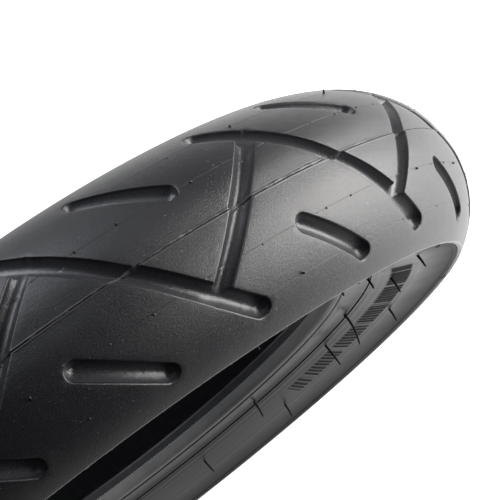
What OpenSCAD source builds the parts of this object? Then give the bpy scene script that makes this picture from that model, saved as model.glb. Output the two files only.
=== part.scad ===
// Small-wheel motorcycle tire, 3.00-10, bias ply, tubeless.
// The wheel axis is Y and the origin is the wheel centre; left is +Y, right is -Y.

/* [Size] */
// Outside diameter over the crown
overall_d = 410; // [404:1:416]
// Width over the two shoulder edges, the widest place
tread_w = 80.6; // [78:0.2:83]
// Radius of the tread arc across the crown
crown_r = 45.5; // [44.5:0.5:47]
// Diameter of the bead seats, which the rim stretches slightly
seat_d = 252.4; // [251:0.2:254]
// Distance between the bead heels, the inside width of the rim
heel_w = 40.6; // [40:0.2:42]

/* [Tread] */
// Tread rubber above the undertread
cap_t = 5.5; // [5:0.1:6]
// Undertread rubber
base_t = 1.2; // [1:0.1:1.4]
// Depth of the grooves
groove_depth = 4; // [3:0.1:5]
// Pattern repeats around the tire
pitches = 13; // [12:1:14]
// Width of the long grooves
long_w = 7.4; // [6:0.1:8]
// Width of the cross grooves
cross_w = 7; // [6:0.1:8]
// Width of the shoulder slots
slot_w = 7.5; // [6:0.1:8]
// Turn of the pattern from the top of the tire, in degrees
phase = 11.2; // [0:0.1:27]

/* [Casing] */
// Each breaker strip
breaker_t = 0.7; // [0.6:0.05:0.8]
// Each body ply
ply_t = 0.7; // [0.6:0.05:0.8]
// Airtight inner liner
liner_t = 0.9; // [0.8:0.05:1]
// Inside radius of the casing where the crown turns into the sidewall
corner_r = 15.8; // [15:0.2:17]
// Bulge of the outer sidewall from a straight line
side_bulge = 0.7; // [0:0.1:1]

/* [Bead] */
// Bead wire
wire_d = 0.96; // [0.9:0.02:1]
// Spacing of the bead wires
wire_pitch = 1.05; // [1.03:0.01:1.1]
// Bead wires along each side of the square bundle
wires = 4; // [3:1:4]
// Textile wrap around the bundle
wrap_t = 0.4; // [0.3:0.05:0.5]
// Chafer strip under and beside the bead
chafer_t = 0.8; // [0.7:0.05:0.9]
// Rubber between chafer and rim flange
flange_rubber_t = 0.9; // [0.8:0.1:1]
// Radius at which the bead filler ends in a thin edge
filler_tip_r = 148; // [146:1:150]
// Radius of the rim line moulded just above the rim flange
rim_line_r = 142.5; // [142:0.5:143]
// Half width at the rim line
rim_line_y = 23.3; // [23:0.1:23.6]
// Distance of the bead toe from the middle plane
toe_y = 7.5; // [7:0.1:8]

/* [Hidden] */

left = -1;   // side of the section that the half sections are mirrored to
right = 1;
reach = 30;  // how far a groove cutter runs below and above the crown

// Radii of the tread layers, about the crown centre
crown_c = [overall_d / 2 - crown_r, 0];
base_r = crown_r - cap_t;
breaker_r = base_r - base_t;
mid_breaker_r = breaker_r - breaker_t;
casing_r = mid_breaker_r - breaker_t;
edge_a = asin(tread_w / 2 / crown_r);   // where the tread ends at the shoulder edge
corner_a = 45;                          // where the casing leaves the crown arc
crown_steps = 5;
edge_steps = 2;
breaker_steps = crown_steps - 1;        // the outer breaker is one step narrower

// Bead bundle: [radius, half width] corners of the wrap's outline
core_w = (wires - 1) * wire_pitch + wire_d + 0.2;
wrap_w = core_w + 2 * wrap_t;
wrap_lo_r = seat_d / 2 + chafer_t + 2 * ply_t;
wrap_hi_r = wrap_lo_r + wrap_w;
wrap_hi_y = heel_w / 2 - flange_rubber_t - chafer_t - 2 * ply_t;
wrap_lo_y = wrap_hi_y - wrap_w;
wrap_round = 0.6;

// Points on a circle, as [radius, half width]
function arc(c, r, a0, a1, n) = [
    for (i = [0:n])
        let (a = a0 + (a1 - a0) * i / n)
        c + r * [cos(a), sin(a)]
];
function slice(list, i, j) = [for (k = [i:j]) list[k]];
function reversed(list) = [for (k = [len(list) - 1:-1:0]) list[k]];
function flipped(list) = [for (p = list) [p.x, -p.y]];
function side_normal(p, q) = let (v = q - p) [-v.y, v.x] / norm(v);

// A path moved sideways by d, with mitred corners
function shifted(path, d) = [
    for (i = [0:len(path) - 1])
        let (
            a = side_normal(path[max(i - 1, 0)], path[max(i, 1)]),
            b = side_normal(path[min(i, len(path) - 2)], path[min(i + 1, len(path) - 1)])
        )
        path[i] + d * (a + b) / (1 + a * b)
];

// The casing path: from the crown centre down to the bead, round the wire bundle and up again.
// It is the outside of the outer body ply, and every casing layer is a shift of it.
corner_c = crown_c + (crown_r - cap_t - base_t - 2 * (breaker_t + ply_t) - liner_t - corner_r)
    * [cos(corner_a), sin(corner_a)];
corner_out_r = casing_r - norm(corner_c - crown_c);
bend = [wrap_hi_r, wrap_lo_y];
bend_v = bend - corner_c;
side_a = 360 + atan2(bend_v.y, bend_v.x) - acos(corner_out_r / norm(bend_v));
side_v = [sin(side_a), -cos(side_a)];   // unit vector up the straight inner side
corner_steps = 12;
wedge_steps = 6;
bead_steps = 4;
function on_side(r) = bend + side_v * (r - bend.x) / side_v.x;

filler_base = [wrap_hi_r, wrap_hi_y];
filler_tip = on_side(filler_tip_r);
chafer_end = (filler_base + filler_tip) / 2;
inner_turnup = on_side(filler_tip_r + 4);
outer_turnup = on_side(filler_tip_r + 9);
round_lo = [wrap_lo_r + wrap_round, wrap_lo_y + wrap_round];
round_hi = [wrap_lo_r + wrap_round, wrap_hi_y - wrap_round];
casing = concat(
    arc(crown_c, casing_r, 0, corner_a, crown_steps),
    slice(arc(corner_c, corner_out_r, corner_a, side_a, corner_steps), 1, corner_steps),
    [bend],
    arc(round_lo, wrap_round, 270, 180, bead_steps),
    arc(round_hi, wrap_round, 180, 90, bead_steps),
    [filler_base, chafer_end, filler_tip, inner_turnup, outer_turnup]
);
i_corner = crown_steps;
i_wedge = i_corner + wedge_steps;
i_side = i_corner + corner_steps;
i_bend = i_side + 1;
i_leg = i_bend + 1;
i_seat = i_leg + bead_steps;
i_heel = i_seat + 1 + bead_steps;
i_chafer = i_heel + 2;
i_tip = i_chafer + 1;
i_inner_end = i_tip + 1;
i_outer_end = i_inner_end + 1;

// Depths of the casing layers from that path
d_mid = ply_t;
d_ply = 2 * ply_t;
d_liner = d_ply + liner_t;
d_chafer = d_ply + chafer_t;

// A tread layer between two radii about the crown centre, over the first n steps from the middle
crown_angles = concat(
    [for (i = [0:crown_steps]) corner_a * i / crown_steps],
    [for (i = [1:edge_steps]) corner_a + (edge_a - corner_a) * i / edge_steps]
);
function crown_arc(r, i0, i1) = [
    for (i = [i0:i1]) crown_c + r * [cos(crown_angles[i]), sin(crown_angles[i])]
];
edge_i = crown_steps + edge_steps;

// Closed outlines
function whole(half) = concat(reversed(flipped(slice(half, 1, len(half) - 1))), half);
function crown_band(r0, r1, n) = concat(whole(crown_arc(r0, 0, n)), reversed(whole(crown_arc(r1, 0, n))));
function casing_band(d0, d1, i0, i1) = concat(
    slice(shifted(casing, d0), i0, i1), reversed(slice(shifted(casing, d1), i0, i1)));
function whole_band(d0, d1, n) = concat(
    whole(slice(shifted(casing, d0), 0, n)), reversed(whole(slice(shifted(casing, d1), 0, n))));

// Outer sidewall from the shoulder edge down to the rim line
shoulder = crown_c + crown_r * [cos(edge_a), sin(edge_a)];
rim_line = [rim_line_r, rim_line_y];
side_steps = 8;
side_out = [rim_line_y - shoulder.y, shoulder.x - rim_line_r] / norm(rim_line - shoulder);
function side_point(s) = shoulder + s * (rim_line - shoulder) + side_bulge * 4 * s * (1 - s) * side_out;
sidewall_outside = [for (i = [0:side_steps]) side_point(i / side_steps)];

// Outer face of the rim strip: concave above the flange, flat against it, rounded at the heel
flange_top = [rim_line_r - 7, heel_w / 2];
flange_sag = 0.6;
function hollow_point(s) =
    let (p = rim_line + s * (flange_top - rim_line))
    [p.x, p.y - flange_sag * 4 * s * (1 - s)];
hollow_steps = 6;
heel_foot = [wrap_lo_r + wrap_round, wrap_hi_y + d_chafer];
heel_round = 1.4;
rim_strip_outside = concat(
    [for (i = [0:hollow_steps]) hollow_point(i / hollow_steps)],
    arc([heel_foot.x + heel_round, heel_w / 2 - heel_round], heel_round, 90, 140, bead_steps),
    [heel_foot]
);

// A ring about the wheel axis from a closed outline of the section
module ring(outline) {
    rotate([90, 0, 0]) rotate_extrude($fn = 180) polygon(outline);
}

// A ring on one side only
module side_ring(outline, side) {
    ring(side == right ? outline : flipped(outline));
}

// Groove centre lines, as [degrees round the tire, distance across from the middle]
function long_line(t) = [0.268 * t + 0.000022 * pow(t, 3), t];
function cross_line(t) = [180 / pitches - 0.305 * t, t];
long_end = 35.5;
cross_end = 24;         // on the middle line of the long groove that it runs into
slot_in = [-8.8, 17];
slot_out = [-1.3, 37];

// How far the tread leans away from the wheel's radius at a distance across from the middle
function lean(t) = t / crown_r * 180 / PI;

// Plan view of a place on the tread, seen square on to the place [degrees, distance] that is its middle
function plan(p, middle) = [
    (crown_c.x + crown_r * cos(lean(p.y))) * sin(p.x - middle.x),
    -crown_r * sin(lean(p.y) - lean(middle.y))
];

// A strip of the given width along plan points
module strip(points, w) {
    polygon(concat(shifted(points, w / 2), reversed(shifted(points, -w / 2))));
}

// The same with ends rounded off by flat facets
end_sides = 12;
module round_strip(points, w) {
    strip(points, w);
    for (p = [points[0], points[len(points) - 1]]) translate(p) circle(d = w, $fn = end_sides);
}

// Turns a plan outline into a cutter that stands square on the tread at its middle
module cutter(middle) {
    rotate([0, middle.x, 0]) translate([0, 0, crown_c.x]) rotate([lean(middle.y), 0, 0])
        translate([0, 0, crown_r - reach]) linear_extrude(2 * reach) children();
}

line_steps = 8;
module long_groove() {
    points = [for (i = [0:line_steps]) plan(long_line(long_end * (2 * i / line_steps - 1)), [0, 0])];
    cutter([0, 0]) round_strip(points, long_w);
}

module cross_groove() {
    middle = [180 / pitches, 0];
    cutter(middle) strip([for (t = [-cross_end, 0, cross_end]) plan(cross_line(t), middle)], cross_w);
}

// The slot towards one side; the other side has the same slot after half a turn about the radius
module slot(side) {
    middle = side * (slot_in + slot_out) / 2;
    cutter(middle) round_strip([plan(side * slot_in, middle), plan(side * slot_out, middle)], slot_w);
}

// Every groove, down to the groove floor, which runs parallel to the tread
module grooves() {
    difference() {
        for (k = [0:pitches - 1]) rotate([0, phase + 360 / pitches * k, 0]) {
            long_groove();
            cross_groove();
            slot(left);
            slot(right);
        }
        ring(crown_band(crown_r - groove_depth, crown_r - reach, edge_i));
    }
}

module tread_cap() {
    color("#2b2b2d") difference() {
        ring(crown_band(crown_r, base_r, edge_i));
        grooves();
    }
}

module tread_base() {
    color("#38332f") ring(crown_band(base_r, breaker_r, edge_i));
}

module breaker_outer() {
    color("#8a6a3c") ring(crown_band(breaker_r, mid_breaker_r, breaker_steps));
}

module breaker_inner() {
    color("#7a5c34") ring(crown_band(mid_breaker_r, casing_r, crown_steps));
}

module body_ply_outer() {
    color("#9a8a5a") ring(whole_band(0, d_mid, i_outer_end));
}

module body_ply_inner() {
    color("#8c7c50") ring(whole_band(d_mid, d_ply, i_inner_end));
}

module inner_liner() {
    color("#1d1d1f") ring(whole_band(d_ply, d_liner, i_bend));
}

module shoulder_wedge(side) {
    color("#403a36") side_ring(concat(
        crown_arc(breaker_r, breaker_steps, edge_i),
        reversed(slice(casing, i_corner, i_wedge)),
        crown_arc(mid_breaker_r, crown_steps, crown_steps),
        crown_arc(mid_breaker_r, breaker_steps, breaker_steps)
    ), side);
}

module sidewall(side) {
    color("#333335") side_ring(concat(
        sidewall_outside,
        slice(shifted(casing, d_ply), i_tip, i_inner_end),
        slice(shifted(casing, d_mid), i_inner_end, i_outer_end),
        slice(casing, i_outer_end, i_outer_end),
        reversed(slice(casing, i_wedge, i_side)),
        crown_arc(breaker_r, edge_i, edge_i),
        crown_arc(base_r, edge_i, edge_i)
    ), side);
}

module rim_strip(side) {
    color("#2a2a2c") side_ring(concat(
        rim_strip_outside,
        slice(shifted(casing, d_chafer), i_heel + 1, i_chafer),
        slice(shifted(casing, d_ply), i_chafer, i_tip)
    ), side);
}

module chafer(side) {
    color("#5b5b58") side_ring(casing_band(d_ply, d_chafer, i_leg, i_chafer), side);
}

module toe_strip(side) {
    foot = shifted(casing, d_chafer);
    color("#242426") side_ring(concat(
        slice(shifted(casing, d_ply), i_bend, i_leg),
        slice(foot, i_leg, i_seat),
        [[seat_d / 2, toe_y + 0.8], [seat_d / 2 + 1, toe_y]],
        slice(shifted(casing, d_liner), i_bend, i_bend)
    ), side);
}

module bead_filler(side) {
    color("#4a4038") side_ring([bend, filler_base, filler_tip], side);
}

// The square that holds the insulated wires
core_lo = [wrap_lo_r, wrap_lo_y] + wrap_t * [1, 1];
function core_square() = [for (c = [[0, 0], [1, 0], [1, 1], [0, 1]]) core_lo + core_w * c];

module bead_wrap(side) {
    outside = concat(slice(casing, i_bend, i_heel), [filler_base]);
    color("#b0a080") difference() {
        side_ring(outside, side);
        side_ring(core_square(), side);
    }
}

// One wire of the bundle as a full ring, counted along and across the square
module wire_rings(side) {
    first = core_lo + (core_w - (wires - 1) * wire_pitch) / 2 * [1, 1];
    rotate([90, 0, 0])
        for (i = [0:wires - 1], j = [0:wires - 1])
            rotate_extrude($fn = 180)
                translate([first.x + i * wire_pitch, side * (first.y + j * wire_pitch)])
                    circle(d = wire_d, $fn = 24);
}

module bead_insulation(side) {
    color("#50443a") difference() {
        side_ring(core_square(), side);
        wire_rings(side);
    }
}

module bead_wires(side) {
    color("#b58a4a") wire_rings(side);
}

tread_cap();
tread_base();
breaker_outer();
breaker_inner();
body_ply_outer();
body_ply_inner();
inner_liner();
shoulder_wedge(left);  // shoulder_wedge_left
shoulder_wedge(right);  // shoulder_wedge_right
sidewall(left);  // sidewall_left
sidewall(right);  // sidewall_right
rim_strip(left);  // rim_strip_left
rim_strip(right);  // rim_strip_right
chafer(left);  // chafer_left
chafer(right);  // chafer_right
toe_strip(left);  // toe_strip_left
toe_strip(right);  // toe_strip_right
bead_filler(left);  // bead_filler_left
bead_filler(right);  // bead_filler_right
bead_wrap(left);  // bead_wrap_left
bead_wrap(right);  // bead_wrap_right
bead_insulation(left);  // bead_insulation_left
bead_insulation(right);  // bead_insulation_right
bead_wires(left);  // bead_wires_left
bead_wires(right);  // bead_wires_right
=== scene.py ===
"""Looks of the small-wheel motorcycle tire. Lengths are in millimetres until a mesh or a material is made."""

import math

import bmesh
import bpy
import numpy as np
from mathutils import Matrix, Vector
from mathutils.geometry import delaunay_2d_cdt
from mathutils.kdtree import KDTree


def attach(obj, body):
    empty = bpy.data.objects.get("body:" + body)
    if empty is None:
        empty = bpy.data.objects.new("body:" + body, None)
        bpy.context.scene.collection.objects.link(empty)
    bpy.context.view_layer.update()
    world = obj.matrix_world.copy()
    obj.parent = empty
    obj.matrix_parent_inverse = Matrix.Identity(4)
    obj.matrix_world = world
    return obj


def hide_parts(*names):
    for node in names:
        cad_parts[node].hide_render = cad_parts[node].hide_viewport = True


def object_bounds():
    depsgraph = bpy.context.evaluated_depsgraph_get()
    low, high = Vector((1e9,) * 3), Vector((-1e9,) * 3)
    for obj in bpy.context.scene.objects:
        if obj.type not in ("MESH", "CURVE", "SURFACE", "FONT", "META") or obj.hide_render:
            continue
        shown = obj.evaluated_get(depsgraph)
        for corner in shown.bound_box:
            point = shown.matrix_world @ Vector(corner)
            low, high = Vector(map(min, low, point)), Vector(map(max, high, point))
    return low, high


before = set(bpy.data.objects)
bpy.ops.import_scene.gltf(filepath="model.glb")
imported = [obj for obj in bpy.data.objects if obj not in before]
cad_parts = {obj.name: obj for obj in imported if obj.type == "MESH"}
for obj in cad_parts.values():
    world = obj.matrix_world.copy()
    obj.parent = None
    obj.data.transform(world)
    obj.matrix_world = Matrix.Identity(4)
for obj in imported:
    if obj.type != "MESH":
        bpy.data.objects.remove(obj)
cad_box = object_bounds()

MM = 0.001

# --- Section of the tire, as in the CAD model -------------------------------------------------
OUTER_R = round(cad_box[1][0] / MM, 2)
HALF_W = round(cad_box[1][1] / MM, 2)
CROWN_R = 45.5                               # tread arc across the crown
CROWN_C = OUTER_R - CROWN_R                  # its centre's distance from the wheel axis
CAP_R = CROWN_R - 5.5                        # underside of the tread cap
EDGE_ANGLE = math.asin(HALF_W / CROWN_R)
EDGE_T = CROWN_R * EDGE_ANGLE                # way across the tread from middle to shoulder edge
LAST_T = EDGE_T - 0.4                        # the tread's last row, where the edge's rounding starts
SHOULDER = np.array([CROWN_C + CROWN_R * math.cos(EDGE_ANGLE), HALF_W])
RIM_LINE = np.array([142.5, 23.3])
SIDE_BULGE = 0.7
LIP = 1.9                                    # the tread cap laps this far over the sidewall
LIP_DEPTH = 0.35
FLOOR_Z = -OUTER_R - 0.5

# --- Tread pattern ----------------------------------------------------------------------------
PITCHES = 13
PITCH = 2 * math.pi * OUTER_R / PITCHES      # along the crown
PHASE = math.radians(11.2)
CUT = 0.3 * PITCH                            # the mesh of one repeat starts this far before it
LONG_END = 35.5                              # where the long and the cross grooves end, across
CROSS_END = 24.0
SLOT_ENDS = (17.0, 37.0)                     # the shoulder slots' ends, across and in degrees round
SLOT_TURN = (-8.8, -1.3)
GROOVE_DEPTH = 4.0
MISMATCH = 0.6                               # the mould halves are this far out of line, each way
MOULD_STEP = 0.12                            # and one half stands this much higher, each way
SEAM_SOFT = 0.15                             # the change from half to half takes about this far
SEAM_SUNK = 0.42                             # keeps the seam's ridges below the full radius
INNER_LINE = 16.0                            # fine mould lines on each half, across
OUTER_LINE = 32.6
# Groove section: [distance outside the groove's edge, depth below the tread]
GROOVE_SECTION = np.array([
    [0.5, 0.0], [0.2, 0.04], [0.0, 0.3], [-0.19, 1.05], [-0.5, 1.85],
    [-1.0, 2.6], [-1.75, 3.3], [-2.7, 3.85], [-3.5, GROOVE_DEPTH],
])
# Lines round the tread, the seam's two ridges and its crack first: [way across, height, half width]
MOULD_LINES = [
    (-0.5, 0.26, 0.25), (0.0, -0.4, 0.25), (0.5, 0.2, 0.25),
    (INNER_LINE, -0.16, 0.16), (-INNER_LINE, -0.16, 0.16),
    (OUTER_LINE, -0.11, 0.13), (-OUTER_LINE, -0.11, 0.13),
]


def degrees_to_way(deg):
    return np.radians(deg) * OUTER_R


def local_scale(t):
    """How much shorter the way round is at t than on the crown."""
    return (CROWN_C + CROWN_R * np.cos(t / CROWN_R)) / OUTER_R


def tread_point(a, t, depth=0.0):
    """Place on the tread: a is the way round the crown, t the way across towards -Y."""
    angle = a / OUTER_R
    lean = t / CROWN_R
    rho = CROWN_C + (CROWN_R - depth) * np.cos(lean)
    return np.stack([rho * np.sin(angle), -(CROWN_R - depth) * np.sin(lean), rho * np.cos(angle)], -1)


def groove_lines():
    """Middle lines of the grooves of three repeats: [(way round, way across, half width), ...]."""
    lines = []
    for k in (-1, 0, 1):
        t = np.linspace(-LONG_END, LONG_END, 29)
        a = degrees_to_way(0.268 * t + 2.2e-5 * t ** 3)
        lines.append((a + k * PITCH, t, 3.55 + 0.45 * (t / LONG_END) ** 2))
        t = np.linspace(-CROSS_END, CROSS_END, 13)
        a = degrees_to_way(-0.305 * t) + PITCH / 2
        lines.append((a + k * PITCH, t, np.full_like(t, 3.45)))
        for side in (1, -1):
            t = side * np.linspace(*SLOT_ENDS, 7)
            a = degrees_to_way(side * np.linspace(*SLOT_TURN, 7))
            lines.append((a + k * PITCH, t, np.full_like(t, 3.75)))
    return lines


LINES = groove_lines()
SEG_A = np.concatenate([tread_point(a[:-1], t[:-1]) for a, t, w in LINES])
SEG_B = np.concatenate([tread_point(a[1:], t[1:]) for a, t, w in LINES])
SEG_WA = np.concatenate([w[:-1] for a, t, w in LINES])
SEG_WB = np.concatenate([w[1:] for a, t, w in LINES])


def groove_distance(a, t):
    """Distance outside the nearest groove's edge, negative inside a groove."""
    out = np.empty(len(a))
    along = SEG_B - SEG_A
    length2 = (along ** 2).sum(-1)
    batch = 4000
    for start in range(0, len(a), batch):
        part = slice(start, start + batch)
        p = tread_point(a[part], t[part])[:, None, :]
        u = np.clip(((p - SEG_A) * along).sum(-1) / length2, 0, 1)
        d = np.linalg.norm(p - SEG_A - u[..., None] * along, axis=-1)
        out[part] = (d - (SEG_WA + (SEG_WB - SEG_WA) * u)).min(-1)
    return out


def mould_shift(t):
    return MISMATCH * np.tanh(t / SEAM_SOFT)


def tread_depth(a, t):
    order = np.argsort(GROOVE_SECTION[:, 0])
    distance = groove_distance(a - mould_shift(t), t)
    depth = np.interp(distance, GROOVE_SECTION[order, 0], GROOVE_SECTION[order, 1])
    for line_t, height, half in MOULD_LINES:
        depth = depth - height * np.clip(1 - np.abs(t - line_t) / half, 0, 1)
    step = MOULD_STEP * np.tanh(-t / SEAM_SOFT) * np.exp(-np.abs(t) / 8)
    return depth + step + SEAM_SUNK * np.exp(-(t / 6) ** 2)


def outline_points(a, t, w, s, step):
    """Points at the distance s from a groove's edge, all round one middle line."""
    scale = local_scale(t)
    da, dt = np.gradient(a) * scale, np.gradient(t)
    length = np.hypot(da, dt)
    na, nt = -dt / length, da / length
    way = np.concatenate([[0], np.cumsum(np.hypot(np.diff(a) * scale[1:], np.diff(t)))])
    fine = np.linspace(0, way[-1], max(int(way[-1] / step), 2))
    fa, ft, fw, fna, fnt, fs = [np.interp(fine, way, v) for v in (a, t, w + s, na, nt, scale)]
    if fw.max() < 0.15:
        return np.empty((0, 2))
    points = []
    for side in (1, -1):
        points.append(np.stack([fa + side * fw * fna / fs, ft + side * fw * fnt], -1))
    for end, sign in ((0, -1), (-1, 1)):
        r = max(fw[end], 0.0)
        n = max(int(math.pi * r / step), 3)
        for ang in np.linspace(-math.pi / 2, math.pi / 2, n)[1:-1]:
            ua, ut = sign * fnt[end], -sign * fna[end]
            va = math.cos(ang) * ua + math.sin(ang) * fna[end]
            vt = math.cos(ang) * ut + math.sin(ang) * fnt[end]
            points.append(np.array([[fa[end] + r * va / fs[end], ft[end] + r * vt]]))
    return np.concatenate(points)


def on_level(points, s):
    """Moves points onto the level s of the groove distance, and drops those that another groove swallows."""
    h = 0.02
    for _ in range(2):
        a, t = points.T
        d = groove_distance(a, t)
        ga = (groove_distance(a + h, t) - groove_distance(a - h, t)) / (2 * h)
        gt = (groove_distance(a, t + h) - groove_distance(a, t - h)) / (2 * h)
        g2 = np.maximum(ga ** 2 + gt ** 2, 0.2)
        move = np.clip((d - s) / g2, -0.3, 0.3)
        points = points - np.stack([move * ga, move * gt], -1)
    keep = np.abs(groove_distance(*points.T) - s) < 0.02
    return points[keep]


def thinned(points, gap):
    """The points, without those closer than gap to one kept before."""
    cells = {}
    chosen = []
    for p in points:
        i, j = int(p[0] // gap), int(p[1] // gap)
        near = [q for m in (-1, 0, 1) for n in (-1, 0, 1) for q in cells.get((i + m, j + n), ())]
        if all((p[0] - q[0]) ** 2 + (p[1] - q[1]) ** 2 > gap ** 2 for q in near):
            cells.setdefault((i, j), []).append(p)
            chosen.append(p)
    return np.array(chosen).reshape(-1, 2)


def spaced(groups):
    """Joins groups, the most important first: [points, gap between them, gap to those before]."""
    kept = np.empty((0, 2))
    for points, own_gap, other_gap in groups:
        if len(kept):
            tree = KDTree(len(kept))
            for i, p in enumerate(kept):
                tree.insert((p[0], p[1], 0), i)
            tree.balance()
            points = np.array([p for p in points if tree.find((p[0], p[1], 0))[2] > other_gap]).reshape(-1, 2)
        kept = np.concatenate([kept, thinned(points, own_gap)])
    return kept


def rows_of_points(way, places):
    """Rows round the wheel, one at each of the places across."""
    return np.concatenate([np.stack([way, np.full_like(way, t)], -1) for t in places])


def edge_points(a0, rows):
    """Points across the tread at a0, with one at each level of the groove walls and on each row."""
    fine = np.arange(-LAST_T, LAST_T, 0.01)
    d = groove_distance(a0 - mould_shift(fine), fine)
    places = []
    for s in GROOVE_SECTION[:, 0]:
        places += list(fine[np.nonzero((d[:-1] - s) * (d[1:] - s) < 0)[0]])
    for t in rows + list(np.linspace(-LAST_T, LAST_T, 61)):
        if all(abs(t - place) > 0.12 for place in places):
            places.append(t)
    places = [t for t in places if abs(t) < LAST_T - 0.3] + [-LAST_T, LAST_T]
    return np.array([(a0, t) for t in sorted(places)])


def wall_points(s):
    """Points on one level of the groove walls, with their gaps."""
    step = 0.6 if s > -1 else 0.8
    found = on_level(np.concatenate([outline_points(a, t, w, s, step) for a, t, w in LINES]), s)
    found[:, 0] += mould_shift(found[:, 1])
    return found, step * 0.55, 0.16


def cell_points(a0):
    """Points of one repeat, its left and then its right edge first, and how many an edge has."""
    rows = [line_t + k * half for line_t, height, half in MOULD_LINES for k in (-2, -1, 0, 1, 2)]
    left = edge_points(a0, rows)
    right = left + [PITCH, 0]
    middle = np.concatenate([np.stack([a, t], -1) for a, t, w in LINES])
    way = a0 + np.arange(0.6, PITCH - 0.4, 1.1)
    rim_way = a0 + PITCH * (np.arange(1, 70) / 70)
    rims = rows_of_points(rim_way, (-LAST_T, LAST_T))
    near_rims = rows_of_points(rim_way, (0.9 - LAST_T, LAST_T - 0.9))
    step = 2.3
    ga, gt = np.meshgrid(a0 + np.arange(step / 2, PITCH, step), np.arange(-LAST_T + 2, LAST_T - 1.5, step))
    ga = ga + (np.arange(ga.shape[0]) % 2)[:, None] * step / 2
    grid = np.stack([ga.ravel(), gt.ravel()], -1)

    groups = [wall_points(s) for s in GROOVE_SECTION[:, 0]]
    groups += [(rows_of_points(way, rows), 0.1, 0.14), (middle, 0.6, 0.7)]
    groups += [(near_rims, 0.3, 0.5), (grid, 1.0, 0.9)]
    inner = []
    for points, own_gap, other_gap in groups:
        a, t = points.T
        inside = (a > a0 + 0.12) & (a < a0 + PITCH - 0.12) & (np.abs(t) < LAST_T - 0.25)
        inner.append((points[inside], own_gap, other_gap))
    return spaced([(left, 0.01, 0.01), (right, 0.01, 0.01), (rims, 0.1, 0.1)] + inner), len(left)


def side_point(s):
    """Outer face of the sidewall, s from 0 at the shoulder edge to 1 at the rim line."""
    way = RIM_LINE - SHOULDER
    out = np.array([-way[1], way[0]]) / np.linalg.norm(way)
    if out[1] < 0:
        out = -out
    return SHOULDER + s * way + SIDE_BULGE * 4 * s * (1 - s) * out


SIDE_LENGTH = np.linalg.norm(RIM_LINE - SHOULDER)
CAP_CORNER = np.array([CROWN_C + CAP_R * math.cos(EDGE_ANGLE), CAP_R * math.sin(EDGE_ANGLE)])
LIP_END = side_point(LIP / SIDE_LENGTH)
LIP_FOOT = LIP_END + LIP_DEPTH * (RIM_LINE - SHOULDER)[[1, 0]] * [-1, 1] / SIDE_LENGTH


def shoulder_profile():
    """From the tread's last row over the shoulder edge and the lip to the underside of the cap."""
    angle = LAST_T / CROWN_R
    start = np.array([CROWN_C + CROWN_R * math.cos(angle), CROWN_R * math.sin(angle)])
    end = side_point(0.4 / SIDE_LENGTH)
    over = [(1 - u) ** 2 * start + 2 * u * (1 - u) * SHOULDER + u ** 2 * end for u in (0.3, 0.55, 0.8, 1.0)]
    lip = [side_point((LIP - 0.12) / SIDE_LENGTH), LIP_END + 0.3 * (LIP_FOOT - LIP_END)]
    return over + lip + [LIP_FOOT, CAP_CORNER]


def repeat_mesh(a0):
    """The face of one repeat: its points, their depths, its triangles and how many points an edge has."""
    points, n_edge = cell_points(a0)
    verts, edges, faces, *_ = delaunay_2d_cdt([Vector(p) for p in points], [], [], 0, 1e-7)
    assert len(verts) == len(points)
    tris = np.array([tuple(f) for f in faces if len(f) == 3])
    x, y = points[tris][..., 0], points[tris][..., 1]
    area = (x[:, 1] - x[:, 0]) * (y[:, 2] - y[:, 0]) - (x[:, 2] - x[:, 0]) * (y[:, 1] - y[:, 0])
    depth = tread_depth(points[:, 0], points[:, 1])
    depth[n_edge:2 * n_edge] = depth[:n_edge]
    return points, depth, tris[np.abs(area) > 1e-5], n_edge


def build_tread():
    """The tread cap as one closed mesh: the repeats of its face, then loops round its back."""
    points, depth, tris, n_edge = repeat_mesh(-CUT)
    left, right = np.arange(n_edge), np.arange(n_edge, 2 * n_edge)
    inner = np.concatenate([left, np.arange(2 * n_edge, len(points))])
    local = np.full(len(points), -1)
    local[inner] = np.arange(len(inner))
    all_v, all_f = [], []
    count = len(inner)
    for k in range(PITCHES):
        turn = PHASE * OUTER_R + k * PITCH
        all_v.append(tread_point(points[inner, 0] + turn, points[inner, 1], depth[inner]))
        index = local + k * count
        index[right] = local[left] + ((k + 1) % PITCHES) * count
        all_f.append(index[tris])
    verts = np.concatenate(all_v)
    faces = [tuple(f) for f in np.concatenate(all_f)]

    # The back of the cap: loops from one shoulder row round the underside to the other
    columns = {}
    for sign in (1, -1):
        row = inner[np.abs(points[inner, 1] - sign * LAST_T) < 1e-4]
        row = row[np.argsort(points[row, 0])]
        columns[sign] = np.concatenate([local[row] + k * count for k in range(PITCHES)])
    angle = np.concatenate([points[row, 0] + PHASE * OUTER_R + k * PITCH for k in range(PITCHES)]) / OUTER_R
    near = shoulder_profile()
    under = [np.array([CROWN_C + CAP_R * math.cos(u), CAP_R * math.sin(u)])
             for u in np.linspace(EDGE_ANGLE, -EDGE_ANGLE, 13)[1:-1]]
    loops = near + under + [p * [1, -1] for p in reversed(near)]
    rings = [columns[1]]
    for r, y in loops:
        rings.append(len(verts) + np.arange(len(angle)))
        loop = np.stack([r * np.sin(angle), np.full_like(angle, -y), r * np.cos(angle)], -1)
        verts = np.concatenate([verts, loop])
    rings.append(columns[-1])
    n = len(angle)
    for lower, upper in zip(rings, rings[1:]):
        for i in range(n):
            j = (i + 1) % n
            faces.append((lower[i], lower[j], upper[j], upper[i]))
    return verts, faces


# --- Rings ------------------------------------------------------------------------------------

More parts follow.
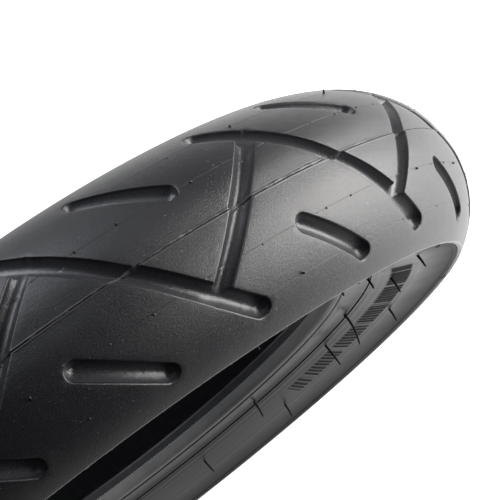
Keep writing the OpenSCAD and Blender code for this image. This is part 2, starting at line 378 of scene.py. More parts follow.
def section(node):
    """The closed outline of a CAD ring, cut at the front of the wheel: [[radius, place across], ...]."""
    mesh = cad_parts[node].data
    co = np.empty(len(mesh.vertices) * 3)
    mesh.vertices.foreach_get("co", co)
    co = co.reshape(-1, 3) / MM
    on = (np.abs(co[:, 2]) < 2e-3) & (co[:, 0] > 0)
    place = {i: (round(float(co[i, 0]), 3), round(float(co[i, 1]), 3)) for i in np.nonzero(on)[0]}
    links = {}
    for e in mesh.edges:
        i, j = e.vertices
        if on[i] and on[j] and place[i] != place[j]:
            links.setdefault(place[i], set()).add(place[j])
            links.setdefault(place[j], set()).add(place[i])
    start = max(links)
    loop, last = [start], None
    most = 400
    while len(loop) <= most:
        onward = [p for p in links[loop[-1]] if p != last and len(links[p]) > 1]
        if not onward or (onward[0] == start and len(loop) > 2):
            break
        last = loop[-1]
        loop.append(onward[0])
    return np.array(loop)


# --- Pieces -----------------------------------------------------------------------------------

def fix_normals(mesh):
    bm = bmesh.new()
    bm.from_mesh(mesh)
    bmesh.ops.recalc_face_normals(bm, faces=bm.faces)
    bm.to_mesh(mesh)
    bm.free()


def add_piece(name, verts, faces, replaced, slot, material, raised=None):
    """Makes a piece of the visual model. raised is a value for each point, for the material, which paints
    shade where it is high.
    """
    mesh = bpy.data.meshes.new(name)
    mesh.from_pydata((np.asarray(verts) * MM).tolist(), [], [tuple(int(i) for i in f) for f in faces])
    mesh.validate()
    if raised is not None:
        values = mesh.attributes.new("raised", "FLOAT", "POINT").data
        values.foreach_set("value", raised.astype(np.float32).ravel())
    fix_normals(mesh)
    mesh.shade_smooth()
    piece = bpy.data.objects.new(name, mesh)
    bpy.context.scene.collection.objects.link(piece)
    mesh.materials.append(material)
    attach(piece, "root")
    if replaced:
        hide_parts(*replaced)


def grid_faces(rows, columns, joined=True):
    """Faces between rows of points, each a closed loop. joined also joins the last row to the first."""
    faces = []
    for i in range(rows if joined else rows - 1):
        k = (i + 1) % rows
        for j in range(columns):
            m = (j + 1) % columns
            faces.append((i * columns + j, i * columns + m, k * columns + m, k * columns + j))
    return faces


def together(shapes):
    """The verts and faces of several shapes as one."""
    verts, faces = [], []
    for own_verts, own_faces in shapes:
        faces += [tuple(j + len(verts) for j in face) for face in own_faces]
        verts += list(own_verts)
    return verts, faces


def revolve(outline, segments, relief):
    """A closed ring from a closed outline of [radius, place across]. relief moves points along its normal."""
    angle = np.linspace(0, 2 * math.pi, segments, endpoint=False)
    tangent = np.roll(outline, -1, 0) - np.roll(outline, 1, 0)
    normal = np.stack([-tangent[:, 1], tangent[:, 0]], -1)
    normal /= np.maximum(np.linalg.norm(normal, axis=1), 1e-9)[:, None]
    d = relief(angle[:, None], outline[None, :, 0], outline[None, :, 1])
    r = np.repeat(outline[None, :, 0], segments, 0) + d * normal[None, :, 0]
    y = np.repeat(outline[None, :, 1], segments, 0) + d * normal[None, :, 1]
    verts = np.stack([r * np.sin(angle)[:, None], y, r * np.cos(angle)[:, None]], -1).reshape(-1, 3)
    return verts, grid_faces(segments, len(outline))


def refined(outline, step, is_fine):
    """The outline with smooth corners rounded off, and in steps no longer than step where is_fine says so."""
    ahead = np.roll(outline, -1, 0) - outline
    length = np.linalg.norm(ahead, axis=1)
    ahead_dir = ahead / length[:, None]
    behind_dir = np.roll(ahead_dir, 1, 0)
    smooth = (ahead_dir * behind_dir).sum(1) > math.cos(math.radians(32))
    mean = ahead_dir + behind_dir
    mean /= np.maximum(np.linalg.norm(mean, axis=1), 1e-6)[:, None]
    points = []
    n = len(outline)
    for i in range(n):
        j = (i + 1) % n
        p, q = outline[i], outline[j]
        count = max(int(round(length[i] / step)), 1) if is_fine((p + q) / 2) else 1
        v0 = (mean[i] if smooth[i] else ahead_dir[i]) * length[i]
        v1 = (mean[j] if smooth[j] else ahead_dir[i]) * length[i]
        for u in np.arange(count) / count:
            h = (2 * u ** 3 - 3 * u ** 2 + 1, u ** 3 - 2 * u ** 2 + u,
                 3 * u ** 2 - 2 * u ** 3, u ** 3 - u ** 2)
            points.append(h[0] * p + h[1] * v0 + h[2] * q + h[3] * v1)
    return np.array(points)


def bump(x, centre, half):
    """A smooth hump, 1 at the centre and 0 beyond half to either side."""
    return np.clip(1 - ((x - centre) / half) ** 2, 0, 1) ** 1.5


def ribbed(angle, pitch_deg, duty, soft):
    """Ribs round the ring: 1 on a rib and 0 between."""
    u = np.abs(((np.degrees(angle) / pitch_deg) % 1) - 0.5) * 2
    return np.clip((duty + soft - u) / (2 * soft), 0, 1)


RIB_R = 155.2                                # middle of the band of short ribs on the sidewall
RIB_HALF = 4.6                               # half the ribs' length
RIB_TURN = 111                               # middle of the ribs in degrees round, and again half a turn on
RIB_SPAN = 30                                # degrees of ribs to either side of it


def rib_rows(r):
    """1 where the band of short ribs is, by the radius."""
    return np.clip((RIB_HALF - np.abs(r - RIB_R)) / 0.5, 0, 1)


def rib_band(angle):
    """Plain groups of short ribs on the sidewall, at the front and the rear."""
    deg = (np.degrees(angle) - RIB_TURN + 90) % 180 - 90
    inside = np.clip((RIB_SPAN - np.abs(deg)) / 0.3, 0, 1)
    group = np.clip((4.6 - np.abs((deg + 5) % 10 - 5)) / 0.2, 0, 1)
    return inside * group * ribbed(angle, 1.15, 0.42, 0.1)


def sidewall_relief(angle, r, y):
    """Height over the plain sidewall, in millimetres."""
    h = 0.30 * bump(r, 177.2, 0.8) + 0.16 * bump(r, 145.2, 0.7)
    h = h + 0.4 * rib_rows(r) * rib_band(angle)
    h = h + 0.12 * bump(r, 162.4, 0.45) + 0.12 * bump(r, 148.6, 0.45)
    return h - 0.30 * bump(r, RIM_LINE[0], 0.7)


def rim_strip_relief(angle, r, y):
    return -0.30 * bump(r, RIM_LINE[0], 0.7) - 0.16 * bump(r, 135.2, 0.5)


def chafer_relief(angle, r, y):
    """Shallow cloth ribs across the seat."""
    seat = np.clip((4.4 - np.abs(np.abs(y) - 14.3)) / 0.6, 0, 1) * (r < 126.9)
    return 0.1 * seat * ribbed(angle, 2 / 3, 0.5, 0.35)


def no_relief(angle, r, y):
    return 0 * r


def shown_side(p):
    """The outer face of a sidewall or rim strip."""
    if p[0] > RIM_LINE[0]:
        s = (SHOULDER[0] - p[0]) / (SHOULDER[0] - RIM_LINE[0])
        return abs(p[1]) > side_point(s)[1] - 0.75
    return abs(p[1]) > 19.8 + 0.42 * max(p[0] - 137.0, 0)


def shown_seat(p):
    return p[0] < 127.0


def shown_toe(p):
    return p[0] < 129.0


def shown_all(p):
    return True


def build_ring(node, step, is_fine, relief, segments, trim=None):
    """A finer ring in the place of the CAD one. Relief is only raised where is_fine says so."""
    outline = section(node)
    if trim:
        outline = trim(outline)
    x, y = outline[:, 0], outline[:, 1]
    if (x * np.roll(y, -1) - np.roll(x, -1) * y).sum() > 0:
        outline = outline[::-1]
    fine = refined(outline, step, is_fine)
    shown = np.array([1.0 if is_fine(p) else 0.0 for p in fine])
    return revolve(fine, segments, lambda a, r, y: relief(a, r, y) * shown[None, :])


def rib_mask(verts):
    """1 on the short ribs of the sidewall, 0 elsewhere."""
    return rib_rows(np.hypot(verts[:, 0], verts[:, 2])) * rib_band(np.arctan2(verts[:, 0], verts[:, 2]))


def sunk_under_lip(outline):
    """The sidewall's outer face starts behind the tread cap's lip."""
    side = np.sign(outline[:, 1].sum())
    shoulder = np.argmax(outline[:, 0] * 0.3 + np.abs(outline[:, 1]))
    outline = outline.copy()
    outline[shoulder] = LIP_FOOT * [1, side]
    ring = np.roll(outline, -shoulder, 0)
    outer_next = ring[1] if abs(ring[1][0] - ring[0][0]) > abs(ring[-1][0] - ring[0][0]) else ring[-1]
    rise = side_point((LIP + 0.25) / SIDE_LENGTH) * [1, side]
    onward = outer_next - LIP_FOOT * [1, side]
    foot = LIP_FOOT * [1, side] + 0.15 * onward / np.linalg.norm(onward)
    return np.concatenate([ring, [rise, foot]])


def tube(path, radii, sides=8):
    """A closed tube along a path, with a radius for each point."""
    path = np.asarray(path, float)
    along = np.gradient(path, axis=0)
    along /= np.linalg.norm(along, axis=1)[:, None]
    side = np.cross(along[0], [0.31, 0.77, 0.55])
    verts = []
    turn = np.arange(sides) * 2 * math.pi / sides
    for p, d, r in zip(path, along, radii):
        side = side - d * (side @ d)
        side /= np.linalg.norm(side)
        other = np.cross(d, side)
        verts.append(p + r * (np.cos(turn)[:, None] * side + np.sin(turn)[:, None] * other))
    last = (len(path) - 1) * sides
    caps = [tuple(range(sides))[::-1], tuple(last + j for j in range(sides))]
    return np.concatenate(verts), grid_faces(len(path), sides, joined=False) + caps


def side_place(deg, r, lift, side):
    """A place on the sidewall or rim strip at a radius, lifted off it. side is 1 for +Y and -1 for -Y."""
    s = (SHOULDER[0] - r) / (SHOULDER[0] - RIM_LINE[0])
    y = side_point(s)[1] if s < 1 else np.interp(r, [135.5, 137.8, 140.2, 142.5], [20.3, 20.8, 21.8, 23.3])
    a = math.radians(deg)
    return np.array([r * math.sin(a), side * (y + lift), r * math.cos(a)])


# Rubber threads left by the vents of the mould: [degrees and radius of the root, length, droop inwards]
THREADS = [
    (71.9, 163.6, 6.0, 0.3), (88.2, 141.6, 5.0, 0.5), (90.2, 151.5, 8.0, 0.8), (109.9, 162.6, 7.0, 0.4),
    (110.8, 141.6, 16.0, 3.2), (124.4, 145.9, 13.0, 1.4), (145.6, 160.2, 7.5, 0.5), (147.0, 141.0, 9.0, 0.6),
    (165.5, 152.3, 8.0, 0.8), (188.0, 161.0, 7.0, 1.0), (203.0, 146.0, 9.0, 1.5), (226.0, 163.0, 6.0, 0.6),
    (240.0, 147.0, 12.0, 2.5), (262.0, 158.0, 7.0, 0.5), (281.0, 144.0, 8.0, 1.2), (300.0, 163.0, 6.5, 0.6),
    (322.0, 146.0, 10.0, 2.0), (341.0, 160.0, 7.0, 0.7), (6.0, 147.0, 9.0, 1.4), (24.0, 162.0, 6.0, 0.5),
    (48.0, 150.0, 8.0, 0.9),
]


# Small hooks at the shoulder edge: where, in degrees, and the points of one as [radius, lift, way round]
HOOKS = (16.9, 0.9, -2.3, 38.0, 61.0, 97.0, 143.0, 190.0, 231.0, 268.0, 300.0, 329.0)
HOOK = [(179.0, 0.05, 0.0), (178.6, 0.45, 0.3), (178.0, 0.75, 0.9), (177.2, 0.8, 1.5), (176.5, 0.5, 1.8)]
HOOK_RADII = [0.22, 0.2, 0.18, 0.16, 0.1]
# Rows of vent nubs on the tread: [way across, degrees between nubs, degrees of the first]
NUB_ROWS = ((-16.2, 4.5, 8.9), (16.2, 4.5, 6.6), (-32.6, 9.0, 32.3), (32.8, 9.0, 37.1))


def build_threads(side, turn, radius):
    """Threads stand out along the axis and droop towards it; side is 1 for +Y and -1 for -Y."""
    rng = np.random.default_rng(11)
    shapes = []
    for deg, r, length, droop in THREADS:
        root = side_place(deg + turn, r, -0.5, side)
        radial = root * [1, 0, 1] / np.linalg.norm(root * [1, 0, 1])
        round_way = np.cross(radial, [0, 1, 0])
        sway = rng.uniform(-0.12, 0.12) * length
        path, radii = [], []
        for u in np.linspace(0, 1, 13):
            out = np.array([0.0, side * (length + 0.5) * u, 0.0])
            path.append(root + out - radial * droop * u ** 2 * (1.6 - 0.6 * u) + round_way * sway * u ** 2
                        + radial * 0.25 * droop * math.sin(2.6 * u))
            radii.append(radius * (1.15 - 0.35 * u) if u < 1 else 0.45 * radius)
        shapes.append(tube(path, radii))
    for deg in HOOKS:
        path = [side_place(deg + turn + math.degrees(go / 178), r, lift, side) for r, lift, go in HOOK]
        shapes.append(tube(path, HOOK_RADII))
    return together(shapes)


def build_flash():
    """The torn skin of rubber along the joint of the mould's halves, round the whole tread."""
    rng = np.random.default_rng(3)
    n = 2600
    angle = np.arange(n) * 2 * math.pi / n

    def wave(most):
        return sum(rng.uniform(0.3, 1.0) * np.sin(k * angle + rng.uniform(0, 6.3))
                   for k in rng.integers(9, most, 24)) / 5

    t = 0.14 * wave(180) - 0.5
    torn = np.clip(np.abs(wave(60)) - 0.5, 0, 1) ** 0.8
    size = 0.24 + 0.10 * np.abs(wave(300)) + 0.55 * torn * (0.6 + 0.4 * np.abs(wave(500)))
    local = ((angle - PHASE) * OUTER_R + CUT) % PITCH - CUT
    depth = tread_depth(local, np.full(n, -0.75)) + 0.05
    size = size + 0.28 * np.clip((depth - 0.8) / 1.5, 0, 1)
    sides = 6
    verts = []
    for j in range(sides):
        turn = 2 * math.pi * j / sides
        verts.append(tread_point(angle * OUTER_R, t + 1.3 * size * math.cos(turn),
                                 depth + 0.06 - size * math.sin(turn) * (0.7 + 0.6 * torn)))
    return np.stack(verts, 1).reshape(-1, 3), grid_faces(n, sides)


def build_nubs():
    """Cut-off vent nubs on the tread, in rows along the fine mould lines."""
    rng = np.random.default_rng(7)
    shapes = []
    for row_t, step, start in NUB_ROWS:
        for deg in np.arange(start, start + 359.9, step):
            a = math.radians(deg + rng.uniform(-0.35, 0.35)) * OUTER_R
            t = row_t + rng.uniform(-0.25, 0.25)
            height = rng.choice([0.15, 0.3, 0.7, 1.5], p=[0.4, 0.35, 0.15, 0.1])
            lean_a, lean_t = rng.uniform(-0.9, 0.9, 2) * height
            local = (a - PHASE * OUTER_R + PITCH / 2) % PITCH - PITCH / 2
            if groove_distance(np.array([local]), np.array([t]))[0] < 1.0:
                continue
            foot = tread_point(a, t, 0.3)
            tip = tread_point(a + lean_a, t + lean_t, -height)
            shapes.append(tube([foot, foot + 0.7 * (tip - foot), tip], [0.46, 0.42, 0.3], 7))
    return together(shapes)


# --- Materials --------------------------------------------------------------------------------

class Nodes:
    """Writes a node tree with short calls; values may be numbers or sockets."""

    def __init__(self, name):
        self.material = bpy.data.materials.new(name)
        self.material.use_nodes = True
        self.tree = self.material.node_tree
        self.shader = self.tree.nodes["Principled BSDF"]
        self.place = self.tree.nodes.new("ShaderNodeTexCoord").outputs["Object"]
        self.x, self.y, self.z = self.node("ShaderNodeSeparateXYZ", Vector=self.place).outputs

    def node(self, kind, settings=None, **inputs):
        n = self.tree.nodes.new(kind)
        for key, value in (settings or {}).items():
            setattr(n, key, value)
        for key, value in inputs.items():
            self.put(n.inputs[key.replace("_", " ")], value)
        return n

    def put(self, socket, value):
        if isinstance(value, bpy.types.NodeSocket):
            self.tree.links.new(value, socket)
        else:
            socket.default_value = value

    def math(self, operation, *values):
        n = self.tree.nodes.new("ShaderNodeMath")
        n.operation = operation
        for socket, value in zip(n.inputs, values):
            self.put(socket, value)
        return n.outputs[0]

    def times(self, first, second):
        return self.math("MULTIPLY", first, second)

    def swing(self, value, amount):
        """A value that varies about 0.5, made to vary about 0 by amount."""
        return self.times(self.math("SUBTRACT", value, 0.5), amount)

    def sum(self, *values):
        total = values[0]
        for value in values[1:]:
            total = self.math("ADD", total, value)
        return total

    def scaled(self, value, low, high, to_low, to_high):
        n = self.node("ShaderNodeMapRange", Value=value)
        for i, v in zip((1, 2, 3, 4), (low, high, to_low, to_high)):
            self.put(n.inputs[i], v)
        return n.outputs[0]

    def noise(self, scale, detail, roughness, vector=None):
        n = self.node("ShaderNodeTexNoise", Vector=vector or self.place, Scale=scale, Detail=detail)
        n.inputs["Roughness"].default_value = roughness
        return n.outputs["Fac"]

    def vector(self, x, y, z):
        return self.node("ShaderNodeCombineXYZ", X=x, Y=y, Z=z).outputs[0]

    def mix(self, factor, first, second):
        n = self.tree.nodes.new("ShaderNodeMix")
        n.data_type = "RGBA"
        self.put(n.inputs[0], factor)
        self.put(n.inputs[6], first)
        self.put(n.inputs[7], second)
        return n.outputs[2]

    def bumped(self, height, distance, strength):
        n = self.node("ShaderNodeBump", Height=height, Distance=distance * MM, Strength=strength)
        return n.outputs[0]

    def set(self, **values):
        for key, value in values.items():
            self.put(self.shader.inputs[key.replace("_", " ")], value)

    def wheel(self):
        """Angle round the wheel, and distance from the axis in metres."""
        angle = self.math("ARCTAN2", self.x, self.z)
        radius = self.math("SQRT", self.sum(self.times(self.x, self.x), self.times(self.z, self.z)))
        return angle, radius


def grey(value, warm=1.0):
    return (value * warm, value, value / warm, 1.0)


def tread_material():
    """Tread rubber: fine grain on the face, tool marks in the grooves, painted shade in the seam's crack and
    fine mould lines, and a painted highlight along the shoulder edge.
    """
    n = Nodes("tread_rubber")
    angle, radius = n.wheel()
    out = n.math("SUBTRACT", radius, CROWN_C * MM)
    lean = n.math("ARCTAN2", n.times(n.y, -1.0), out)
    across = n.times(lean, CROWN_R * MM)
    way = n.times(angle, OUTER_R * MM)
    depth = n.math("SUBTRACT", CROWN_R * MM,
                   n.math("SQRT", n.sum(n.times(out, out), n.times(n.y, n.y))))
    in_groove = n.scaled(depth, 0.6 * MM, 1.4 * MM, 0.0, 1.0)
    grain = n.noise(2000, 3.0, 0.7)
    fine = n.noise(4200, 2.0, 0.5)
    mottle = n.noise(120, 4.0, 0.6)
    patches = n.noise(22, 3.0, 0.55)
    lines = n.noise(1.0, 2.0, 0.6, n.vector(n.times(way, 12.0), n.times(across, 1500.0), 0.0))
    ticks = n.noise(1.0, 1.0, 0.5, n.vector(n.times(way, 900.0), n.times(across, 420.0),
                                            n.times(depth, 150.0)))
    speck = n.scaled(n.noise(800, 2.0, 0.6), 0.70, 0.77, 0.0, 1.0)
    shade = n.sum(n.swing(mottle, 0.5),
                  n.swing(patches, 0.9),
                  n.swing(grain, 1.6), 0.5)
    land = n.mix(shade, (0.0022, 0.0023, 0.0038, 1.0), (0.0105, 0.0105, 0.0128, 1.0))
    land = n.mix(n.times(speck, 0.6), land, grey(0.2, 1.03))
    aside = n.math("ABSOLUTE", across)
    from_line = n.math("MINIMUM", n.math("ABSOLUTE", n.math("SUBTRACT", aside, INNER_LINE * MM)),
                       n.math("ABSOLUTE", n.math("SUBTRACT", aside, OUTER_LINE * MM)))
    # Painted shade: the colour is darkened along the fine mould lines.
    painted_line_shade = n.scaled(from_line, 0.12 * MM, 0.3 * MM, 0.6, 0.0)
    land = n.mix(painted_line_shade, land, grey(0.002))
    # Painted shade: the seam's crack is darkened in the colour; the same mask also makes it rougher.
    crack_shade_mask = n.scaled(n.math("ABSOLUTE", across), 0.16 * MM, 0.26 * MM, 1.0, 0.0)
    land = n.mix(crack_shade_mask, land, grey(0.001))
    # Painted highlight: a pale line along the shoulder edge.
    edge = n.times(n.scaled(aside, 49.1 * MM, 49.35 * MM, 0.0, 1.0),
                  n.scaled(aside, 49.8 * MM, 50.2 * MM, 1.0, 0.0))
    land = n.mix(n.times(edge, 0.8), land, grey(0.19))
    n.set(Base_Color=n.mix(in_groove, land, (0.03, 0.03, 0.034, 1.0)))
    rough = n.sum(0.385, n.swing(patches, 0.16),
                  n.swing(grain, 0.34))
    n.set(Roughness=n.sum(rough, n.times(in_groove, -0.08), n.times(crack_shade_mask, 0.4)))
    height = n.sum(n.times(grain, 1.0), n.times(fine, 0.35),
                   n.times(lines, 0.35), n.times(mottle, 0.8))
    groove_height = n.sum(n.times(ticks, 0.6), n.times(grain, 0.6))
    both = n.math("ADD", n.times(height, n.math("SUBTRACT", 1.0, in_groove)),
                  n.times(groove_height, in_groove))
    n.set(Normal=n.bumped(both, 0.13, 1.0), Specular_IOR_Level=0.55)
    return n.material


def side_material(name, low, high, rough, ring_scale):
    """Smooth moulded rubber with fine rings from the turned mould and a little bloom, with painted shade
    towards the shoulder and on the short ribs.
    """
    n = Nodes(name)
    angle, radius = n.wheel()
    rings = n.noise(1.0, 3.0, 0.6, n.vector(n.times(angle, 2.0), n.times(radius, ring_scale), 0.0))
    patches = n.noise(26, 3.0, 0.6)
    grain = n.noise(2400, 2.0, 0.5)
    smears = n.noise(1.0, 4.0, 0.65, n.vector(n.times(angle, 9.0), n.times(radius, 60.0), 1.0))
    shade = n.sum(0.5, n.swing(patches, 0.7),
                  n.swing(smears, 0.8),
                  n.swing(rings, 0.15))
    ribs = n.node("ShaderNodeAttribute", {"attribute_name": "raised"}).outputs["Fac"]
    colour = n.mix(shade, (low, low, low * 1.15, 1.0), (high, high, high * 1.1, 1.0))
    # Painted shade: the colour darkens towards the shoulder, from radius 163 to 179 mm.
    outer = n.scaled(radius, 163.0 * MM, 179.0 * MM, 0.0, 1.0)
    colour = n.mix(outer, colour, (0.003, 0.003, 0.0035, 1.0))
    # Painted shade: the short ribs that the raised attribute marks are darkened in the colour.
    n.set(Base_Color=n.mix(n.times(ribs, 0.9), colour, grey(0.002)))
    n.set(Roughness=n.sum(rough, n.times(ribs, 0.5), n.times(outer, 0.35), n.swing(smears, 0.2),
                          n.swing(grain, 0.1)))
    height = n.sum(n.times(rings, 0.22), n.times(grain, 0.35), n.times(patches, 4.5))
    n.set(Normal=n.bumped(height, 0.05, 0.8), Specular_IOR_Level=0.27)
    return n.material


def thread_material():
    """Thin matt rubber of the vent threads, darker than the sidewall's as painted shade."""
    n = Nodes("thread_rubber")
    grain = n.noise(1800, 2.0, 0.5)
    # Painted shade: the threads' colour is darker than the sidewall rubber.
    n.set(Base_Color=n.mix(grain, grey(0.002), grey(0.008)), Roughness=n.scaled(grain, 0.3, 0.7, 0.65, 0.85))
    n.set(Normal=n.bumped(grain, 0.05, 0.6), Specular_IOR_Level=0.25)
    return n.material


def flash_material():
    """Torn rubber of the flash: greyer than the tread on its raw edges."""
    n = Nodes("flash_rubber")
    grain, tears = n.noise(1500, 3.0, 0.6), n.noise(300, 3.0, 0.6)
    n.set(Base_Color=n.mix(n.scaled(tears, 0.4, 0.65, 0.0, 1.0), grey(0.012), grey(0.11, 1.02)))
    n.set(Roughness=n.scaled(grain, 0.3, 0.7, 0.34, 0.5), Normal=n.bumped(grain, 0.08, 0.7))
    return n.material


def cloth_material():
    """Rubbered cloth of the chafer: crossed threads under a thin rubber skin."""
    n = Nodes("chafer_cloth")
    angle, radius = n.wheel()
    way = n.times(angle, 126.0)
    one = n.math("SINE", n.times(n.math("ADD", way, n.times(n.y, 1000.0)), 7.0))
    two = n.math("SINE", n.times(n.math("SUBTRACT", way, n.times(n.y, 1000.0)), 7.0))
    weave = n.math("MAXIMUM", one, two)
    patches = n.noise(60, 3.0, 0.6)
    n.set(Base_Color=n.mix(n.sum(n.times(weave, 0.2), n.times(patches, 0.8)),
                           grey(0.05), grey(0.13, 1.02)))
    n.set(Roughness=n.scaled(patches, 0.3, 0.7, 0.42, 0.55), Normal=n.bumped(weave, 0.03, 0.6))
    return n.material


def liner_material():
    """Inside of the casing: dull rubber with release marks."""
    n = Nodes("liner_rubber")
    angle, radius = n.wheel()
    marks = n.noise(1.0, 3.0, 0.6, n.vector(n.times(angle, 60.0), n.times(n.y, 40.0), 0.0))
    grain = n.noise(1300, 3.0, 0.6)
    n.set(Base_Color=n.mix(marks, (0.13, 0.13, 0.145, 1.0), (0.26, 0.26, 0.28, 1.0)))
    n.set(Roughness=n.scaled(grain, 0.3, 0.7, 0.5, 0.66))
    n.set(Normal=n.bumped(n.sum(marks, n.times(grain, 0.4)), 0.15, 0.7))
    return n.material


def cord_material(name, rubber, cord, bias, pitch):
    """Rubbered cord ply: parallel cords at an angle to the wheel's plane."""
    n = Nodes(name)
    angle, radius = n.wheel()
    way = n.math("ADD", n.times(angle, 180.0 * math.cos(bias)),
                 n.times(n.y, 1000.0 * math.sin(bias)))
    wave = n.math("SINE", n.times(way, 2 * math.pi / pitch))
    grain = n.noise(900, 2.0, 0.5)
    n.set(Base_Color=n.mix(n.scaled(n.sum(wave, n.times(grain, 0.6)), 0.2, 1.2, 0.0, 1.0), rubber, cord))
    n.set(Roughness=n.scaled(grain, 0.3, 0.7, 0.55, 0.75), Normal=n.bumped(wave, 0.15, 0.8))
    return n.material


def inner_rubber_material():
    n = Nodes("inner_rubber")
    patches, grain = n.noise(90, 3.0, 0.6), n.noise(1500, 3.0, 0.6)
    n.set(Base_Color=n.mix(patches, grey(0.018), (0.05, 0.043, 0.038, 1.0)))
    n.set(Roughness=n.scaled(grain, 0.3, 0.7, 0.5, 0.7), Normal=n.bumped(grain, 0.12, 0.7))
    return n.material


def wire_material():
    """Bronze-coated bead wire."""
    n = Nodes("bead_wire")
    angle, radius = n.wheel()
    drawn = n.noise(1.0, 2.0, 0.5, n.vector(n.times(angle, 6.0), n.times(radius, 9000.0),
                                            n.times(n.y, 9000.0)))
    n.set(Base_Color=n.mix(drawn, (0.42, 0.25, 0.11, 1.0), (0.62, 0.42, 0.22, 1.0)), Metallic=1.0)
    n.set(Roughness=n.scaled(drawn, 0.3, 0.7, 0.22, 0.38), Normal=n.bumped(drawn, 0.02, 0.6))
    return n.material


def floor_material():
    """Pale floor that glows as painted light: even around the tire, brighter towards the key light and dimmer
    far away.
    """
    n = Nodes("floor_white")
    away = n.node("ShaderNodeVectorMath", {"operation": "DISTANCE"})
    n.put(away.inputs[0], n.place)
    n.put(away.inputs[1], (0.15, 0.09, FLOOR_Z * MM))
    # Painted light: the floor's emission is brighter near the tire and towards the key light.
    glow = n.times(n.scaled(away.outputs["Value"], 0.24, 0.8, 1.0, 0.25), n.scaled(n.x, 0.06, 0.26, 1.0, 1.8))
    n.set(Base_Color=grey(0.2), Roughness=0.9, Emission_Color=grey(1.0), Emission_Strength=glow)
    return n.material


# --- Make the pieces --------------------------------------------------------------------------

tread_rubber = tread_material()
side_rubber = side_material("side_rubber", 0.007, 0.022, 0.38, 2600.0)
rim_rubber = side_material("rim_rubber", 0.009, 0.028, 0.38, 1800.0)
thread_rubber = thread_material()
flash_rubber = flash_material()
chafer_cloth = cloth_material()
liner_rubber = liner_material()
inner_rubber = inner_rubber_material()
ply_cord = cord_material("ply_cord", grey(0.02), (0.30, 0.24, 0.13, 1.0), math.radians(38), 1.1)
breaker_cord = cord_material("breaker_cord", grey(0.022), (0.26, 0.17, 0.08, 1.0), math.radians(-32), 1.3)
bead_wire = wire_material()

add_piece("tread", *build_tread(), ["tread_cap"], "tread_rubber", tread_rubber)
add_piece("tread_vent_nubs", *build_nubs(), None, "tread_rubber", tread_rubber)

SEGMENTS = 1440
for name in ("left", "right"):
    verts, faces = build_ring("sidewall_" + name, 0.6, shown_side, sidewall_relief, SEGMENTS, sunk_under_lip)
    # The sidewall's material paints shade on the short ribs that rib_mask marks.
    add_piece("sidewall_face_" + name, verts, faces, ["sidewall_" + name], "side_rubber", side_rubber,
              rib_mask(verts))
    verts, faces = build_ring("rim_strip_" + name, 0.5, shown_side, rim_strip_relief, SEGMENTS)
    add_piece("rim_strip_face_" + name, verts, faces, ["rim_strip_" + name], "side_rubber", rim_rubber)
    verts, faces = build_ring("chafer_" + name, 0.6, shown_seat, chafer_relief, 2160)
    add_piece("chafer_face_" + name, verts, faces, ["chafer_" + name], "chafer_cloth", chafer_cloth)
    verts, faces = build_ring("toe_strip_" + name, 0.5, shown_toe, no_relief, 720)
    add_piece("toe_strip_face_" + name, verts, faces, ["toe_strip_" + name], "side_rubber", rim_rubber)
verts, faces = build_ring("inner_liner", 1.6, shown_all, no_relief, 540)
add_piece("inner_liner_face", verts, faces, ["inner_liner"], "liner_rubber", liner_rubber)
add_piece("vent_threads_right", *build_threads(-1, 0.0, 0.55), None, "side_rubber", thread_rubber)
add_piece("vent_threads_left", *build_threads(1, 133.0, 0.5), None, "side_rubber", thread_rubber)
add_piece("tread_mould_flash", *build_flash(), None, "tread_rubber", flash_rubber)

# Materials of the CAD nodes that stay, by the start of their names
FINISH = {
    "tread_base": inner_rubber, "breaker": breaker_cord, "body_ply": ply_cord,
    "shoulder_wedge": inner_rubber, "bead_filler": inner_rubber, "bead_wrap": ply_cord,
    "bead_insulation": inner_rubber, "bead_wires": bead_wire,
}
for node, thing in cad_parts.items():
    for start, material in FINISH.items():
        if node.startswith(start):
            for slot in thing.material_slots:
                slot.material = material

# --- Floor, light and camera ------------------------------------------------------------------

scene = bpy.context.scene
CAMERA = Vector((7.0, -110.2, 658.7)) * MM
RIGHT = Vector((0.79611, -0.60518, 0.0))     # the camera's own directions
UP = Vector((0.58680, 0.77192, 0.24463))
BACK = Vector((-0.14805, -0.19475, 0.96961))
AIM = Vector((0.02, -0.02, 0.15))            # what the lights are turned to, in metres
COOL = (0.92, 0.95, 1.0)

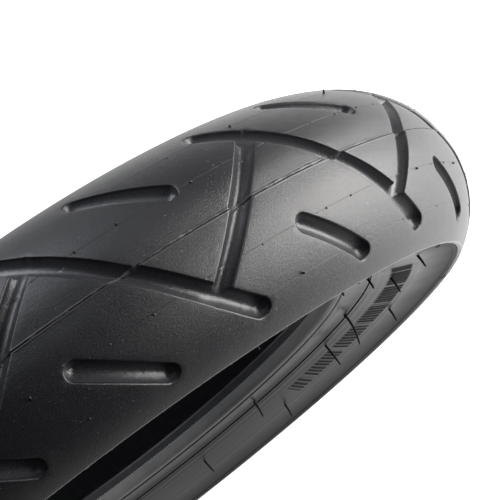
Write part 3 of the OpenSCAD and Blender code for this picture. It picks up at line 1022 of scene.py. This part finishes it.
camera = bpy.data.objects.new("camera", bpy.data.cameras.new("camera"))
camera.data.lens = 105.29
camera.data.sensor_width = 36.0
camera.matrix_world = Matrix.Translation(CAMERA) @ Matrix((RIGHT, UP, BACK)).transposed().to_4x4()
scene.collection.objects.link(camera)
scene.camera = camera


def area_light(name, way, distance, size, power, colour):
    """A soft box seen from the tire in the direction right, up, back of the camera."""
    out = (RIGHT * way[0] + UP * way[1] + BACK * way[2]).normalized()
    light = bpy.data.lights.new(name, "AREA")
    light.shape = "RECTANGLE"
    light.size, light.size_y = size
    light.energy = power
    light.color = colour
    thing = bpy.data.objects.new(name, light)
    thing.visible_camera = False
    turned = out.to_track_quat("Z", "Y").to_matrix().to_4x4()
    thing.matrix_world = Matrix.Translation(AIM + out * distance) @ turned
    scene.collection.objects.link(thing)


area_light("key", (0.88, 0.46, 0.06), 1.2, (1.15, 1.0), 39.0, (1.0, 0.985, 0.965))
area_light("top", (-0.38, 0.75, 0.50), 1.4, (2.0, 1.6), 8.0, COOL)
area_light("left", (-0.72, 0.64, 0.26), 1.3, (0.9, 0.9), 13.0, COOL)
area_light("low", (0.80, 0.10, -0.60), 0.6, (0.5, 0.6), 1.6, (1.0, 1.0, 1.0))

world = bpy.data.worlds.new("studio")
world.use_nodes = True
air = world.node_tree.nodes["Background"]
air.inputs[0].default_value = (0.86, 0.90, 1.0, 1.0)
air_glow = world.node_tree.nodes.new("ShaderNodeMapRange")
air_glow.inputs[3].default_value = 0.06          # what lights the tire
air_glow.inputs[4].default_value = 0.55          # the pale backdrop past the floor's edge
seen = world.node_tree.nodes.new("ShaderNodeLightPath").outputs["Is Camera Ray"]
world.node_tree.links.new(seen, air_glow.inputs[0])
world.node_tree.links.new(air_glow.outputs[0], air.inputs[1])
scene.world = world

FLOOR_HALF = 4000 * MM
corners = [(x * FLOOR_HALF, y * FLOOR_HALF, FLOOR_Z * MM) for x, y in ((-1, -1), (1, -1), (1, 1), (-1, 1))]
floor_mesh = bpy.data.meshes.new("floor")
floor_mesh.from_pydata(corners, [], [(0, 1, 2, 3)])
floor = bpy.data.objects.new("floor", floor_mesh)
scene.collection.objects.link(floor)
floor_mesh.materials.append(floor_material())

scene.view_settings.view_transform = "Standard"
scene.view_settings.look = "None"
